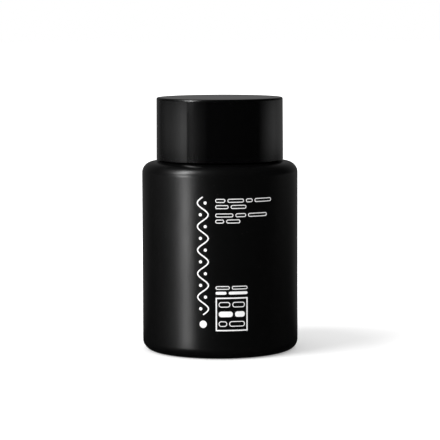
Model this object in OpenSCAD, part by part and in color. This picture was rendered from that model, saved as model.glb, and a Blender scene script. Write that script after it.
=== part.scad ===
// Dip-in sponge jar for nail polish remover.
// A round plastic jar holds a foam cylinder with a finger well, and a double-wall
// screw cap closes it: a threaded insert with its sealing wad, snapped into a plain shell.
// Millimetres, +Z up, origin at the centre of the surface that the jar stands on.
// Every piece but the ribs is turned about Z, so each has its own half section.

/* [Jar body] */
// Outer diameter of the body
body_d = 50; // [46:0.5:60]
// Height of the neck's foot above the standing surface
body_h = 61.2; // [50:0.1:90]
// Wall thickness of the body, shoulder and floor
wall = 1.2; // [0.9:0.1:1.8]
// Radius of the corner between the side and the standing ring
base_r = 3.2; // [2.4:0.1:5]
// Radius of the corner between the side and the shoulder
shoulder_r = 3.45; // [2.6:0.05:5]
// Fall of the shoulder from the neck outwards, in degrees
shoulder_slope = 7.4; // [2:0.1:14]
// Width of the flat ring that the jar stands on
ring_w = 1.6; // [1:0.1:3]
// Height of the pushed-up floor above the standing ring
push_up = 2; // [1:0.1:3.5]
// Radius of the corner inside the standing ring
ring_r = 2.1; // [2:0.1:3]
// Radius of the edge round the pushed-up floor
floor_r = 1; // [0.4:0.1:2]

/* [Neck] */
// Outer diameter of the neck, without its thread
neck_d = 32.7; // [31:0.1:34]
// Wall thickness of the neck
neck_wall = 1.5; // [1.2:0.1:1.9]
// Height of the neck from its foot to the rim
neck_h = 14.35; // [13.5:0.05:18]
// Radius of the rim's two edges
rim_r = 0.4; // [0.2:0.05:0.55]
// Radius of the corner at the neck's foot
foot_r = 0.8; // [0.4:0.1:1.2]
// Height from the middle of the transfer bead to the rim
bead_drop = 11; // [9:0.1:11.8]
// Clearance between the transfer bead and the insert's bore
bead_gap = 0.25; // [0.15:0.05:0.5]
// Height of the screw thread that the neck leaves room for
thread_h = 1.05; // [0.8:0.05:1.4]
// Clearance between the neck's thread and the insert's bore
thread_gap = 0.35; // [0.25:0.05:0.6]

/* [Cap insert] */
// Wall thickness of the threaded skirt
insert_wall = 0.85; // [0.7:0.05:1.5]
// Thickness of the plate over the wad
plate_t = 1.1; // [0.8:0.1:2]
// Radius of the edge between plate and skirt
plate_r = 0.8; // [0.3:0.1:1.2]
// Lead-in chamfer at the open end of the bore
lead_in = 0.4; // [0.2:0.05:0.6]
// Height of the bead that keeps the wad in
wad_bead_h = 0.55; // [0.4:0.05:0.7]
// Number of splines round the skirt
spline_n = 24; // [16:1:32]
// Width of a spline
spline_w = 2.2; // [1.5:0.1:2.6]
// Height of a spline
spline_h = 0.35; // [0.3:0.05:0.6]
// Number of standoff ribs on the plate
standoff_n = 12; // [6:1:16]
// Height of the standoff ribs
standoff_h = 1.8; // [1:0.1:3]
// Thickness of the standoff ribs and of their hub ring
standoff_t = 0.9; // [0.6:0.1:1.4]
// Outer diameter of the hub ring
hub_d = 8.4; // [6:0.2:12]

/* [Cap shell] */
// Wall thickness of the shell at its open edge
shell_wall = 1.29; // [1:0.01:2]
// Thickness of the shell's top
shell_top = 1.4; // [1:0.1:2.5]
// Draft of the shell's side, in degrees
cap_draft = 0.3; // [0:0.05:1]
// Radius of the top edge
edge_r = 0.85; // [0.3:0.05:1.1]
// Radius of the outer edge at the opening
mouth_r = 0.25; // [0.1:0.05:0.5]
// Radius of the corner under the top
under_r = 0.5; // [0.2:0.1:0.8]
// Height of the open edge over the shoulder, at the shell's inner wall
cap_gap = 0.35; // [0.2:0.05:1]
// How far the snap lip stands in from the wall
lip_in = 0.3; // [0.2:0.05:0.35]
// Height of the snap lip
lip_w = 1; // [0.8:0.1:1.5]
// Height of the snap lip above the open edge
lip_up = 0.6; // [0.4:0.1:1]

/* [Wad] */
// Thickness of the sealing wad
liner_t = 1.2; // [0.8:0.1:2]
// Chamfer round the wad
liner_c = 0.15; // [0.05:0.05:0.3]

/* [Sponge] */
// Clearance between the sponge and the jar
sponge_gap = 0.3; // [0.2:0.05:0.6]
// How far the sponge swells up past the neck's foot
crown_h = 5; // [2:0.1:7]
// Radius of the swollen crown's edge
crown_r = 4.5; // [2:0.1:5]
// Diameter of the finger well
well_d = 12.5; // [11:0.5:14]
// Depth of the finger well below the crown
well_depth = 38; // [25:1:44]
// Radius of the rounding at the well's mouth
well_mouth_r = 2; // [1:0.1:2.5]
// Radius of the corner at the well's bottom
well_end_r = 4; // [1:0.1:5]
// Number of cuts that open the well
slit_n = 4; // [2:1:8]
// Width of a cut
slit_w = 0.8; // [0.5:0.1:1.5]
// How far a cut runs out past the well
slit_l = 3.6; // [2:0.1:4.5]
// Depth of the cuts below the crown
slit_depth = 30; // [15:1:40]

/* [Fits] */
// Clearance between splines and shell, and over the snap lip
snap_gap = 0.1; // [0.05:0.05:0.2]
// Clearance beside each spline
side_gap = 0.25; // [0.15:0.05:0.4]
// Clearance round the wad
liner_gap = 0.2; // [0.1:0.05:0.3]
// Clearance between the wad and the bead under it
wad_gap = 0.1; // [0.05:0.05:0.3]

/* [Hidden] */
$fn = 96;
// Largest angle of one stretch of a rounded corner, in degrees
arc_step = 7.5;
// Depth by which a rib is rooted in the wall that carries it
root = 0.4;
// Length by which a cut runs past the face it leaves through
past = 1;

// Jar
body_rad = body_d / 2;
ring_out = body_rad - base_r;
ring_in = ring_out - ring_w;
// Angle of the two arcs that raise the floor: past a quarter turn the floor drops straight
floor_a = acos(max(0, 1 - push_up / (ring_r + floor_r)));
floor_edge = ring_in - (ring_r + floor_r) * sin(floor_a);
neck_rad = neck_d / 2;
bore_rad = neck_rad - neck_wall;
rim_z = body_h + neck_h;
bead_z = rim_z - bead_drop;
bead_h = thread_h + thread_gap - bead_gap;
// Centre height of the corner between side and shoulder
shoulder_z = shoulder_line(body_rad - shoulder_r + shoulder_r * sin(shoulder_slope))
           - shoulder_r * cos(shoulder_slope);

// Cap, from the neck outwards and from the rim upwards
thread_bore = neck_rad + thread_h + thread_gap;
insert_rad = thread_bore + insert_wall;
shell_in = insert_rad + spline_h + snap_gap;
shell_rad = shell_in + shell_wall;
plate_z = rim_z + liner_t;
plate_top = plate_z + plate_t;
under_z = plate_top + standoff_h;
cap_top = under_z + shell_top;
cap_z = shoulder_line(shell_in) + cap_gap;
lip_z = cap_z + lip_up;
insert_z = lip_z + lip_w + snap_gap;
spline_top = plate_z - plate_r;
spline_mid = insert_rad + spline_h / 2;
hub_rad = hub_d / 2;
// A shell rib fills the space between two splines, less a clearance on each side
shell_rib_w = 2 * PI * spline_mid / spline_n - spline_w - 2 * side_gap;

// Sponge
sponge_inset = wall + sponge_gap;
sponge_rad = body_rad - sponge_inset;
sponge_z = push_up + wall;
column_rad = bore_rad - sponge_gap;
crown_z = body_h + crown_h;
well_rad = well_d / 2;
crown_edge = min(crown_r, column_rad - well_rad - well_mouth_r);

// Height of the outside of the shoulder at a radius
function shoulder_line(r) = body_h - (r - neck_rad) * tan(shoulder_slope);

// Points of an arc about a centre, from one angle to another
function arc(centre, r, from, to) =
    let (steps = max(1, ceil(abs(to - from) / arc_step)))
    [for (i = [0 : steps]) let (a = from + (to - from) * i / steps) centre + r * [cos(a), sin(a)]];

function reversed(points) = [for (i = [len(points) - 1 : -1 : 0]) points[i]];

// The floor from the axis to the standing ring, set in by a thickness square to it
function floor_line(inset) = concat(
    [[0, push_up + inset]],
    arc([floor_edge, push_up - floor_r], floor_r + inset, 90, 90 - floor_a),
    arc([ring_in, ring_r], ring_r - inset, 270 - floor_a, 270)
);

// The side from the standing ring to the shoulder, set in by a thickness square to it
function side_line(inset) = concat(
    arc([ring_out, base_r], base_r - inset, -90, 0),
    shoulder_corner(inset)
);

function shoulder_corner(inset) =
    arc([body_rad - shoulder_r, shoulder_z], shoulder_r - inset, 0, 90 - shoulder_slope);

// The shoulder at a radius, set in by a thickness square to it
function under_shoulder(r, inset) = [r, shoulder_line(r) - inset / cos(shoulder_slope)];

// The neck from its foot over the transfer bead and the rim to the inside
function neck_line() =
    let (foot_rad = neck_rad + foot_r)
    concat(
        arc([foot_rad, shoulder_line(foot_rad) + foot_r / cos(shoulder_slope)],
            foot_r, 270 - shoulder_slope, 180),
        arc([neck_rad, bead_z], bead_h, -90, 90),
        arc([neck_rad - rim_r, rim_z - rim_r], rim_r, 0, 90),
        arc([bore_rad + rim_r, rim_z - rim_r], rim_r, 90, 180)
    );

// Jar: pushed-up floor, round body, sloping shoulder and neck, blown in one piece
module bottle() {
    color([0.06, 0.06, 0.065])
    rotate_extrude()
    polygon(concat(
        floor_line(0),
        side_line(0),
        neck_line(),
        [under_shoulder(bore_rad, wall)],
        reversed(side_line(wall)),
        reversed(floor_line(wall))
    ));
}

// Sponge: foam cylinder that fills the jar and swells a little way up the neck,
// with a blind finger well and cuts that let the well open
module sponge() {
    color([0.93, 0.9, 0.84])
    difference() {
        rotate_extrude() polygon(sponge_section());
        for (i = [0 : slit_n - 1])
            rotate(i * 360 / slit_n)
            translate([0, -slit_w / 2, crown_z - slit_depth])
            cube([well_rad + slit_l, slit_w, slit_depth + past]);
    }
}

function sponge_section() = concat(
    [[0, sponge_z]],
    arc([sponge_rad - base_r, sponge_z + base_r], base_r, -90, 0),
    shoulder_corner(sponge_inset),
    [under_shoulder(column_rad, sponge_inset)],
    arc([column_rad - crown_edge, crown_z - crown_edge], crown_edge, 0, 90),
    arc([well_rad + well_mouth_r, crown_z - well_mouth_r], well_mouth_r, 90, 180),
    arc([well_rad - well_end_r, crown_z - well_depth + well_end_r], well_end_r, 0, -90),
    [[0, crown_z - well_depth]]
);

// Wad: the resilient disc that seals the rim
module cap_liner() {
    wad_rad = thread_bore - liner_gap;
    color([0.9, 0.9, 0.88])
    rotate_extrude()
    polygon([
        [0, rim_z],
        [wad_rad - liner_c, rim_z],
        [wad_rad, rim_z + liner_c],
        [wad_rad, plate_z - liner_c],
        [wad_rad - liner_c, plate_z],
        [0, plate_z]
    ]);
}

// Insert: the inner cap, with the bore for the thread, the bead under the wad,
// splines that lock it in the shell and ribs that hold the shell's top off its plate
module cap_insert() {
    color([0.1, 0.1, 0.105]) {
        union() {
            rotate_extrude() polygon(insert_section());
            splines();
            standoffs();
        }
    }
}

function insert_section() = concat(
    [
        [thread_bore + lead_in, insert_z],
        [insert_rad, insert_z]
    ],
    arc([insert_rad - plate_r, plate_top - plate_r], plate_r, 0, 90),
    [
        [hub_rad, plate_top],
        [hub_rad, under_z],
        [hub_rad - standoff_t, under_z],
        [hub_rad - standoff_t, plate_top],
        [0, plate_top],
        [0, plate_z],
        [thread_bore, plate_z]
    ],
    arc([thread_bore, rim_z - wad_gap - wad_bead_h], wad_bead_h, 90, 270),
    [[thread_bore, insert_z + lead_in]]
);

module splines() {
    for (i = [0 : spline_n - 1])
        rotate(i * 360 / spline_n)
        translate([insert_rad - root, -spline_w / 2, insert_z])
        cube([root + spline_h, spline_w, spline_top - insert_z]);
}

module standoffs() {
    rib_start = hub_rad - standoff_t / 2;
    rib_end = insert_rad - plate_r - root;
    for (i = [0 : standoff_n - 1])
        rotate((i + 0.5) * 360 / standoff_n)
        translate([rib_start, -standoff_t / 2, plate_top - root])
        cube([rib_end - rib_start, standoff_t, root + standoff_h]);
}

// Shell: the plain outer cap, with the lip that snaps under the insert
// and ribs that stand between the insert's splines
module cap_shell() {
    color([0.03, 0.03, 0.033])
    union() {
        rotate_extrude() polygon(shell_section());
        for (i = [0 : spline_n - 1])
            rotate((i + 0.5) * 360 / spline_n)
            translate([insert_rad + snap_gap, -shell_rib_w / 2, insert_z])
            cube([spline_h + root, shell_rib_w, spline_top - insert_z]);
    }
}

function shell_section() =
    let (top_rad = shell_rad - (cap_top - cap_z - edge_r) * tan(cap_draft))
    concat(
        arc([shell_rad - mouth_r, cap_z + mouth_r], mouth_r, -90, 0),
        arc([top_rad - edge_r, cap_top - edge_r], edge_r, 0, 90),
        [
            [0, cap_top],
            [0, under_z]
        ],
        arc([shell_in - under_r, under_z - under_r], under_r, 90, 0),
        [
            [shell_in, lip_z + lip_w],
            [shell_in - lip_in, lip_z + lip_w - lip_in],
            [shell_in - lip_in, lip_z + lip_in],
            [shell_in, lip_z],
            [shell_in, cap_z]
        ]
    );

bottle();
sponge();
cap_liner();
cap_insert();
cap_shell();
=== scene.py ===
"""Looks of a dip-in sponge jar for nail polish remover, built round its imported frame.

The jar with its printed front, the foam sponge, the sealing wad and the double-wall screw
cap are modelled as finished meshes in millimetres and scaled to metres when they are done.
Each rides on the body of the frame that carries it and stands for the solid it dresses.
The studio is set out in metres.
"""

from __future__ import annotations

import logging
import math
from collections.abc import Iterable, Iterator, Sequence
from dataclasses import dataclass
from enum import Enum

import bmesh
import bpy
from bmesh.types import BMEdge, BMesh, BMFace, BMVert
from mathutils import Matrix, Vector, noise


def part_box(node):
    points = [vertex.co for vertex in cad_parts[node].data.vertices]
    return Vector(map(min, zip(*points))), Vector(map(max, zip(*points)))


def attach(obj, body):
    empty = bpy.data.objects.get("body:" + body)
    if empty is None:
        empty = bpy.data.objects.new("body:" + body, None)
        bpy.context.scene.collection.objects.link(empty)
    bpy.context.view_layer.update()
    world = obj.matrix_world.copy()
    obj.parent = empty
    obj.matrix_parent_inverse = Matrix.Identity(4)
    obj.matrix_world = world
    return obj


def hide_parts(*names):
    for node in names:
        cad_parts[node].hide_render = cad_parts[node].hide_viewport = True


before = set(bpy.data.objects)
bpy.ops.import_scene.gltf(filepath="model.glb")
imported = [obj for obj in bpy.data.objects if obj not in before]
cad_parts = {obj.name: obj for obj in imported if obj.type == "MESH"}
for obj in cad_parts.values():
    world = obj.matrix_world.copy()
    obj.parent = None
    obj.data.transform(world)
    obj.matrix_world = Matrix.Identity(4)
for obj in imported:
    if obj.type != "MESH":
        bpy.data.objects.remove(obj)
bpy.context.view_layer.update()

LOG = logging.getLogger("sponge_jar")

Socket = bpy.types.NodeSocket
Point = tuple[float, float, float]

MM = 0.001
TURN = 2 * math.pi
# Faces round the axis of a turned piece
TURN_STEPS = 192
# Distance in millimetres within which two points are one
WELD = 1e-4
# Distance in millimetres within which a vertex belongs to a ring
ON_RING = 1e-3
# Width in millimetres of the even strip beside each fillet
GUARD = 0.25
# Longest face along a section, in millimetres
LONGEST_RUN = 5.0
# Angle past which an edge is shaded sharp
SHARP = math.radians(32)
# Power in watts that gives a card of one square metre a radiance of 1
CARD_WATTS = 4.0
# Width of the frame in pixels, and of the camera's sensor in millimetres
FRAME_PIXELS = 440
SENSOR_MM = 36.0


class Body(Enum):
    """Bodies of the frame that pieces ride on."""

    JAR = "jar"
    WAD = "wad"
    CAP = "cap"


class Slot(Enum):
    """Names of the record's material slots, one for each kind of piece."""

    JAR = "jar_plastic"
    SPONGE = "sponge_foam"
    WAD = "wad"
    INSERT = "insert_plastic"
    CAP = "cap_plastic"


class Side(Enum):
    """Side of a round wall that a thread stands on."""

    OUTSIDE = 1
    INSIDE = -1


@dataclass(frozen=True)
class Extent:
    """Radius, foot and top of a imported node, in millimetres."""

    radius: float
    foot: float
    top: float

    @classmethod
    def of(cls, node: str) -> Extent:
        """Measures a node of the frame, by its name, at rest."""
        low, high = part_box(node)
        return cls(high.x / MM, low.z / MM, high.z / MM)


@dataclass(frozen=True)
class Corner:
    """A corner of a half section, rounded where it has a fillet."""

    r: float
    z: float
    fillet: float = 0.0
    segments: int = 5

    @property
    def point(self) -> Vector:
        """The corner as a point in the plane of the section."""
        return Vector((self.r, self.z))


@dataclass(frozen=True)
class Lathe:
    """A half section from axis to axis, turned about Z into a shell with rounded rings."""

    corners: Sequence[Corner]
    steps: int = TURN_STEPS

    def build(self) -> BMesh:
        """Spins the section and bevels each ring that has a fillet.

        Returns:
            A closed mesh in millimetres, with its faces pointing outwards.
        """
        mesh = bmesh.new()
        verts = [mesh.verts.new((r, 0.0, z)) for r, z in self.points()]
        edges = [mesh.edges.new(pair) for pair in zip(verts, verts[1:])]
        bmesh.ops.spin(
            mesh, geom=verts + edges, cent=(0, 0, 0), axis=(0, 0, 1), dvec=(0, 0, 0),
            angle=TURN, steps=self.steps, use_merge=True,
        )
        bmesh.ops.remove_doubles(mesh, verts=mesh.verts, dist=WELD)
        for before, corner, after in self.triples():
            if corner.fillet:
                self.round_ring(mesh, corner, self.tangent(before, corner, after))
        bmesh.ops.recalc_face_normals(mesh, faces=mesh.faces)
        return mesh

    def triples(self) -> Iterator[tuple[Corner, Corner, Corner]]:
        """Goes along the corners off the axis, each between its two neighbours."""
        return zip(self.corners, self.corners[1:], self.corners[2:])

    def points(self) -> Iterator[tuple[float, float]]:
        """Goes along the section, with guard points beside fillets and on long runs.

        Returns:
            The radius and height of each point.
        """
        lengths = {corner: self.tangent(a, corner, b) for a, corner, b in self.triples()}
        for start, end in zip(self.corners, self.corners[1:]):
            yield start.r, start.z
            run = (end.point - start.point).length
            low = lengths[start] + GUARD if start.fillet else 0.0
            high = run - (lengths[end] + GUARD if end.fillet else 0.0)
            if high - low < GUARD:
                continue
            pieces = max(1, math.ceil((high - low) / LONGEST_RUN))
            for i in range(pieces + 1):
                along = low + (high - low) * i / pieces
                if WELD < along < run - WELD:
                    yield tuple(start.point.lerp(end.point, along / run))
        yield self.corners[-1].r, self.corners[-1].z

    @staticmethod
    def tangent(before: Corner, corner: Corner, after: Corner) -> float:
        """Length from a corner to where its fillet starts.

        Args:
            before: The corner before it.
            corner: The rounded corner.
            after: The corner after it.

        Returns:
            The length along both sides, in millimetres.
        """
        inward = corner.point - before.point
        onward = after.point - corner.point
        return corner.fillet * math.tan(inward.angle(onward) / 2)

    def round_ring(self, mesh: BMesh, corner: Corner, offset: float) -> None:
        """Bevels the ring that a corner has become.

        Args:
            mesh: The spun mesh.
            corner: The corner that the ring came from.
            offset: Length of the fillet along both of its sides.
        """
        bmesh.ops.bevel(
            mesh, geom=ring_edges(mesh, corner), offset=offset, offset_type="OFFSET",
            segments=corner.segments, profile=0.5, affect="EDGES", clamp_overlap=True,
            material=-1,
        )


def ring_edges(mesh: BMesh, corner: Corner) -> list[BMEdge]:
    """Finds the edges of the ring at a corner's radius and height.

    Args:
        mesh: The spun mesh.
        corner: The corner that the ring came from.

    Returns:
        The ring's edges.
    """
    def on_ring(vert: BMVert) -> bool:
        """Says whether a vertex lies on the ring."""
        off_radius = abs(math.hypot(vert.co.x, vert.co.y) - corner.r)
        return off_radius < ON_RING and abs(vert.co.z - corner.z) < ON_RING

    return [edge for edge in mesh.edges if all(on_ring(vert) for vert in edge.verts)]


def add_block(mesh: BMesh, low: Vector, high: Vector, turn: float, edge: float) -> None:
    """Adds a block with softened edges, turned about Z.

    Args:
        mesh: Mesh that the block joins as an island of its own.
        low: Lowest corner before the turn.
        high: Highest corner before the turn.
        turn: Angle about Z in radians.
        edge: Width of the softened edges.
    """
    size = high - low
    place = Matrix.Rotation(turn, 4, "Z") @ Matrix.Translation((low + high) / 2)
    made = bmesh.ops.create_cube(mesh, size=1.0, matrix=place @ Matrix.Diagonal((*size, 1.0)))
    edges = list(dict.fromkeys(e for vert in made["verts"] for e in vert.link_edges))
    bmesh.ops.bevel(
        mesh, geom=edges, offset=edge, offset_type="OFFSET", segments=2, profile=0.5,
        affect="EDGES", clamp_overlap=True, material=-1,
    )


@dataclass(frozen=True)
class ScrewThread:
    """A helical ridge on a round wall, whose ends run out into the wall."""

    wall: float
    height: float
    side: Side
    foot_z: float
    lead: float = 4.0
    turns: float = 1.25
    foot_w: float = 2.2
    crest_w: float = 0.9
    crest_r: float = 0.225
    end_share: float = 0.35
    runout: float = 0.16
    rooted: float = 0.25
    steps_a_turn: int = 120

    def build(self) -> BMesh:
        """Makes a straight bar of the ridge's section and winds it round the wall.

        Returns:
            A closed mesh in millimetres.
        """
        mesh = bmesh.new()
        bmesh.ops.create_cube(mesh, size=1.0, matrix=Matrix.Translation((0.5, 0.5, 0.0)))
        along = [e for e in mesh.edges if abs(e.verts[0].co.x - e.verts[1].co.x) > 0.5]
        cuts = round(self.turns * self.steps_a_turn)
        bmesh.ops.subdivide_edges(mesh, edges=along, cuts=cuts, use_grid_fill=True)
        for vert in mesh.verts:
            width = self.crest_w if vert.co.y > 0.5 else self.foot_w
            vert.co.z *= width
            vert.co.y = self.height if vert.co.y > 0.5 else -self.rooted
        length = TURN * self.wall * self.turns
        bmesh.ops.scale(mesh, vec=(length, 1, 1), verts=mesh.verts)
        crest = [e for e in mesh.edges if self.is_crest_edge(e)]
        bmesh.ops.bevel(
            mesh, geom=crest, offset=self.crest_r, offset_type="OFFSET", segments=3,
            profile=0.5, affect="EDGES", clamp_overlap=True, material=-1,
        )
        for vert in mesh.verts:
            vert.co = self.wound(vert.co, length)
        bmesh.ops.recalc_face_normals(mesh, faces=mesh.faces)
        return mesh

    def is_crest_edge(self, edge: BMEdge) -> bool:
        """Finds the edges that run along the two sides of the straight bar's crest.

        Args:
            edge: An edge of the bar.

        Returns:
            Whether it is one of them.
        """
        a, b = (vert.co for vert in edge.verts)
        lengthwise = abs(a.z - b.z) < WELD and abs(a.x - b.x) > WELD
        return lengthwise and min(a.y, b.y) > self.height - WELD

    def wound(self, point: Vector, length: float) -> Vector:
        """Winds a point of the straight bar round the wall.

        Args:
            point: Length along the ridge, height above the wall and place across it.
            length: Length of the bar.

        Returns:
            The point on the helix.
        """
        share = point.x / length
        ends = min(share, 1 - share) * self.turns / self.runout
        rise = math.sin(min(1.0, ends) * math.pi / 2)
        height = point.y * rise if point.y > 0 else point.y
        width = point.z * (self.end_share + (1 - self.end_share) * rise)
        angle = TURN * self.turns * share
        radius = self.wall + self.side.value * height
        z = self.foot_z + self.lead * self.turns * share + width
        return Vector((radius * math.cos(angle), radius * math.sin(angle), z))


def joined(parts: Iterable[BMesh]) -> BMesh:
    """Puts several meshes into one and frees them.

    Args:
        parts: Meshes in millimetres.

    Returns:
        One mesh that holds them as islands.
    """
    whole = bmesh.new()
    for part in parts:
        holder = bpy.data.meshes.new("part")
        part.to_mesh(holder)
        part.free()
        whole.from_mesh(holder)
        bpy.data.meshes.remove(holder)
    return whole


def finished(
    mesh: BMesh, name: str, body: Body, slot: Slot, material: bpy.types.Material,
    replaces: Sequence[str] = (), crisp: bool = True,
) -> bpy.types.Object:
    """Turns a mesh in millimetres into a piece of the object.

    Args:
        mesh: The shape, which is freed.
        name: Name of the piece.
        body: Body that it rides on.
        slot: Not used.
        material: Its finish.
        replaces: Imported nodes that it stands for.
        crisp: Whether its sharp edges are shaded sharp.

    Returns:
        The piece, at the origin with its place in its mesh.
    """
    bmesh.ops.scale(mesh, vec=(MM, MM, MM), verts=mesh.verts)
    data = bpy.data.meshes.new(name)
    mesh.to_mesh(data)
    mesh.free()
    data.shade_smooth()
    if crisp:
        data.set_sharp_from_angle(angle=SHARP)
    data.materials.append(material)
    piece = bpy.data.objects.new(name, data)
    bpy.context.scene.collection.objects.link(piece)
    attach(piece, body.value)
    if replaces:
        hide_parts(*replaces)
    LOG.info("%s rides on %s with %d faces", name, body.value, len(data.polygons))
    return piece


@dataclass(frozen=True)
class Graph:
    """Nodes of a material or a node group, added and linked by short calls."""

    tree: bpy.types.NodeTree

    def add(self, kind: str, **settings: object) -> bpy.types.Node:
        """Adds a node and sets its properties.

        Args:
            kind: Type name of the node.
            **settings: Properties of the node by name.

        Returns:
            The new node.
        """
        node = self.tree.nodes.new(kind)
        for name, value in settings.items():
            setattr(node, name, value)
        return node

    def feed(self, socket: Socket, value: object) -> None:
        """Links a socket to another one, or sets its value.

        Args:
            socket: The socket that takes the value.
            value: A value, or a socket to link from.
        """
        if isinstance(value, Socket):
            self.tree.links.new(value, socket)
        else:
            socket.default_value = value

    def set(self, node: bpy.types.Node, **inputs: object) -> bpy.types.Node:
        """Sets or links inputs of a node, whose names are written with underscores.

        Args:
            node: The node.
            **inputs: Values, or sockets to link from, by input name.

        Returns:
            The same node.
        """
        for name, value in inputs.items():
            self.feed(node.inputs[name.replace("_", " ")], value)
        return node

    def object_point(self) -> Socket:
        """The place on the object, as a socket."""
        return self.add("ShaderNodeTexCoord").outputs["Object"]

    def noise(
        self, scale: float | Socket, detail: float = 3.0, rough: float = 0.5,
    ) -> bpy.types.Node:
        """Adds a noise texture on object coordinates.

        Args:
            scale: Number of features in a metre.
            detail: Octaves of finer noise.
            rough: Weight of the finer octaves.

        Returns:
            The texture node.
        """
        node = self.add("ShaderNodeTexNoise")
        return self.set(
            node, Vector=self.object_point(), Scale=scale, Detail=detail, Roughness=rough,
        )

    def calc(
        self, operation: str, first: float | Socket, second: float | Socket,
        third: float | Socket = 0.0,
    ) -> Socket:
        """Adds a step of arithmetic.

        Args:
            operation: Name of the operation.
            first: Its first number.
            second: Its second number.
            third: The number that a MULTIPLY_ADD adds.

        Returns:
            The result as a socket.
        """
        node = self.add("ShaderNodeMath", operation=operation)
        for socket, value in zip(node.inputs, (first, second, third)):
            self.feed(socket, value)
        return node.outputs["Value"]

    def vector(self, operation: str, point: Socket, by: Point = (1.0, 1.0, 1.0)) -> bpy.types.Node:
        """Adds a step of arithmetic on a place or a direction.

        Args:
            operation: Name of the operation.
            point: The place or direction.
            by: What a MULTIPLY multiplies it by.

        Returns:
            The node, whose outputs are Vector and Value.
        """
        node = self.add("ShaderNodeVectorMath", operation=operation)
        self.feed(node.inputs[0], point)
        self.feed(node.inputs[1], by)
        return node

    def spread(
        self, value: Socket, low: float, high: float, source: tuple[float, float] = (0.0, 1.0),
    ) -> Socket:
        """Maps a value from one range to another.

        Args:
            value: The socket to read.
            low: Result at the source range's start.
            high: Result at the source range's end.
            source: Range of the value.

        Returns:
            The mapped value.
        """
        node = self.add("ShaderNodeMapRange", clamp=True)
        start, end = source
        self.set(node, Value=value, From_Min=start, From_Max=end, To_Min=low, To_Max=high)
        return node.outputs["Result"]

    def blend(
        self, factor: float | Socket, first: Point | Socket, second: Point | Socket,
        how: str = "MIX",
    ) -> Socket:
        """Blends two colours.

        Args:
            factor: Share of the second colour, from 0 to 1.
            first: The first colour.
            second: The second colour.
            how: Name of the way to blend them.

        Returns:
            The blended colour.
        """
        node = self.add("ShaderNodeMix", data_type="RGBA", blend_type=how)
        ends = [end if isinstance(end, Socket) else (*end, 1.0) for end in (first, second)]
        self.set(node, Factor=factor, A=ends[0], B=ends[1])
        return next(out for out in node.outputs if out.type == "RGBA")


@dataclass(frozen=True)
class Effects:
    """Node groups that several finishes share."""

    grain: bpy.types.NodeTree
    marks: bpy.types.NodeTree
    cells: bpy.types.NodeTree

    @classmethod
    def build(cls) -> Effects:
        """Builds each group once."""
        return cls(FineGrain().group(), HandlingMarks().group(), FoamCells().group())


def new_group(
    name: str, inputs: dict[str, float], outputs: Sequence[str],
) -> tuple[Graph, bpy.types.Node, bpy.types.Node]:
    """Makes an empty node group with named number sockets.

    Args:
        name: Name of the group.
        inputs: Default values by input name.
        outputs: Names of the outputs.

    Returns:
        The group's graph, its input node and its output node.
    """
    tree = bpy.data.node_groups.new(name, "ShaderNodeTree")
    for label, value in inputs.items():
        socket = tree.interface.new_socket(label, in_out="INPUT", socket_type="NodeSocketFloat")
        socket.default_value = value
    for label in outputs:
        tree.interface.new_socket(label, in_out="OUTPUT", socket_type="NodeSocketFloat")
    graph = Graph(tree)
    return graph, graph.add("NodeGroupInput"), graph.add("NodeGroupOutput")


@dataclass(frozen=True)
class FineGrain:
    """The fine grain of a moulded face, and a little unevenness of its gloss."""

    scale: float = 4000.0
    detail: float = 2.0
    rough: float = 0.6
    patch_scale: float = 90.0
    patch_detail: float = 4.0
    patch_rough: float = 0.55
    patch_range: tuple[float, float] = (0.35, 0.65)

    def group(self) -> bpy.types.NodeTree:
        """Builds the node group.

        Returns:
            A group with an input Scale and the outputs Height and Unevenness.
        """
        outputs = ("Height", "Unevenness")
        graph, source, sink = new_group("fine_grain", {"Scale": self.scale}, outputs)
        fine = graph.noise(source.outputs["Scale"], self.detail, self.rough)
        broad = graph.noise(self.patch_scale, self.patch_detail, self.patch_rough)
        uneven = graph.spread(broad.outputs["Fac"], 0.0, 1.0, self.patch_range)
        graph.set(sink, Height=fine.outputs["Fac"], Unevenness=uneven)
        return graph.tree


@dataclass(frozen=True)
class HandlingMarks:
    """The marks of handling: soft smudges, short hairline rubs and specks of dust."""

    amount: float = 0.5
    smudge_scale: float = 45.0
    smudge_detail: float = 5.0
    smudge_rough: float = 0.6
    smudge_range: tuple[float, float] = (0.52, 0.74)
    rub_scale: float = 150.0
    rub_detail: float = 2.0
    rub_stretch: Point = (1.0, 1.0, 22.0)
    rub_turn: Point = (0.5, 0.3, 0.2)
    rub_range: tuple[float, float] = (0.66, 0.71)
    dust_scale: float = 420.0
    dust_range: tuple[float, float] = (0.03, 0.07)

    def group(self) -> bpy.types.NodeTree:
        """Builds the node group.

        Returns:
            A group with an input Amount and the outputs Smudge, Rub and Dust.
        """
        outputs = ("Smudge", "Rub", "Dust")
        graph, source, sink = new_group("handling_marks", {"Amount": self.amount}, outputs)
        smudge = graph.noise(self.smudge_scale, self.smudge_detail, self.smudge_rough)
        stretch = graph.add("ShaderNodeMapping")
        point = graph.object_point()
        graph.set(stretch, Vector=point, Rotation=self.rub_turn, Scale=self.rub_stretch)
        hair = graph.noise(self.rub_scale, self.rub_detail)
        graph.set(hair, Vector=stretch.outputs["Vector"])
        specks = graph.add("ShaderNodeTexVoronoi")
        graph.set(specks, Vector=graph.object_point(), Scale=self.dust_scale)
        masks = {
            "Smudge": graph.spread(smudge.outputs["Fac"], 0.0, 1.0, self.smudge_range),
            "Rub": graph.spread(hair.outputs["Fac"], 0.0, 1.0, self.rub_range),
            "Dust": graph.spread(specks.outputs["Distance"], 1.0, 0.0, self.dust_range),
        }
        for label, mask in masks.items():
            graph.feed(sink.inputs[label], graph.calc("MULTIPLY", mask, source.outputs["Amount"]))
        return graph.tree


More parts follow.
